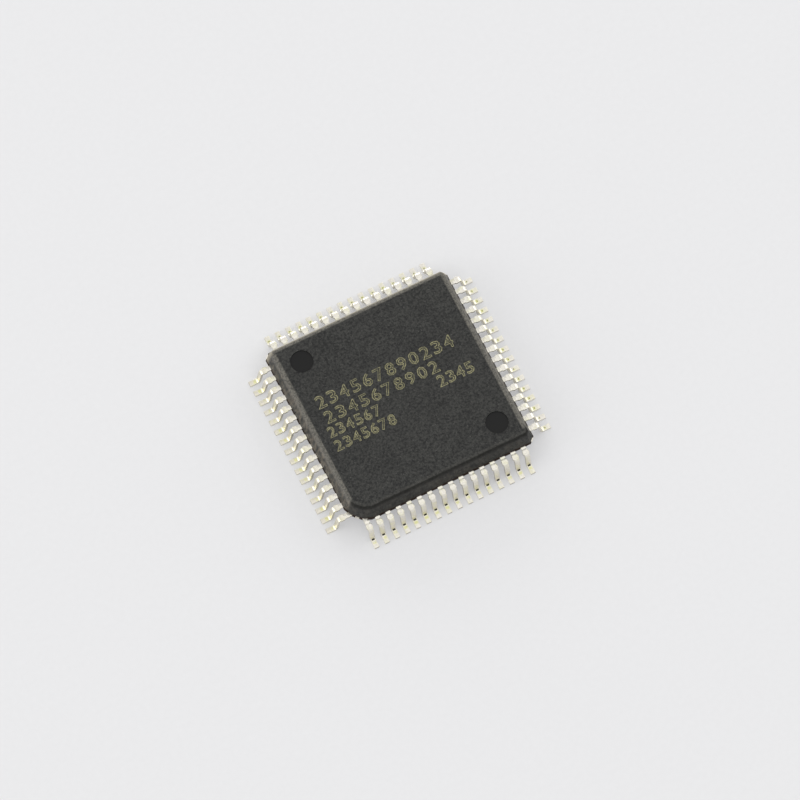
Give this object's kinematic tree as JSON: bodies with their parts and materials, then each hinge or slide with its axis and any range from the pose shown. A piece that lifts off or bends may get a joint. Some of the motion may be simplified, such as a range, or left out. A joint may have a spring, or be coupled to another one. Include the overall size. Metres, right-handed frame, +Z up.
{
  "type": "quad flat pack chip",
  "caption": "Square moulded chip package with gull-wing leads along every side, a cut index corner and round ejector marks; the lead frame, die and bond wires are modelled inside.",
  "frame": {"origin": "centre of the package on the plane on which its feet stand", "axes": "+Z up through the top face; +Y from the front row of leads to the back row; the cut index corner is at -X -Y, and leads count anticlockwise from it"},
  "size_m": [0.0172, 0.0172, 0.0029],
  "materials": {
    "mould_compound": "fine matte moulded grain",
    "tin_plating": "satin tin plating",
    "frame_metal": "bare copper alloy",
    "adhesive": "silver-filled, matt",
    "silicon": "polished",
    "gold_wire": "drawn gold"
  },
  "bodies": {
    "root": {"package_body": "mould_compound", "die_pad": "frame_metal", "die_adhesive": "adhesive", "silicon_die": "silicon", "leads_01_to_04": "tin_plating", "leads_05_to_08": "tin_plating", "leads_09_to_12": "tin_plating", "leads_13_to_16": "tin_plating", "leads_17_to_20": "tin_plating", "leads_21_to_24": "tin_plating", "leads_25_to_28": "tin_plating", "leads_29_to_32": "tin_plating", "leads_33_to_36": "tin_plating", "leads_37_to_40": "tin_plating", "leads_41_to_44": "tin_plating", "leads_45_to_48": "tin_plating", "leads_49_to_52": "tin_plating", "leads_53_to_56": "tin_plating", "leads_57_to_60": "tin_plating", "leads_61_to_64": "tin_plating", "wires_01_to_04": "gold_wire", "wires_05_to_08": "gold_wire", "wires_09_to_12": "gold_wire", "wires_13_to_16": "gold_wire", "wires_17_to_20": "gold_wire", "wires_21_to_24": "gold_wire", "wires_25_to_28": "gold_wire", "wires_29_to_32": "gold_wire", "wires_33_to_36": "gold_wire", "wires_37_to_40": "gold_wire", "wires_41_to_44": "gold_wire", "wires_45_to_48": "gold_wire", "wires_49_to_52": "gold_wire", "wires_53_to_56": "gold_wire", "wires_57_to_60": "gold_wire", "wires_61_to_64": "gold_wire"}
  },
  "joints": []
}
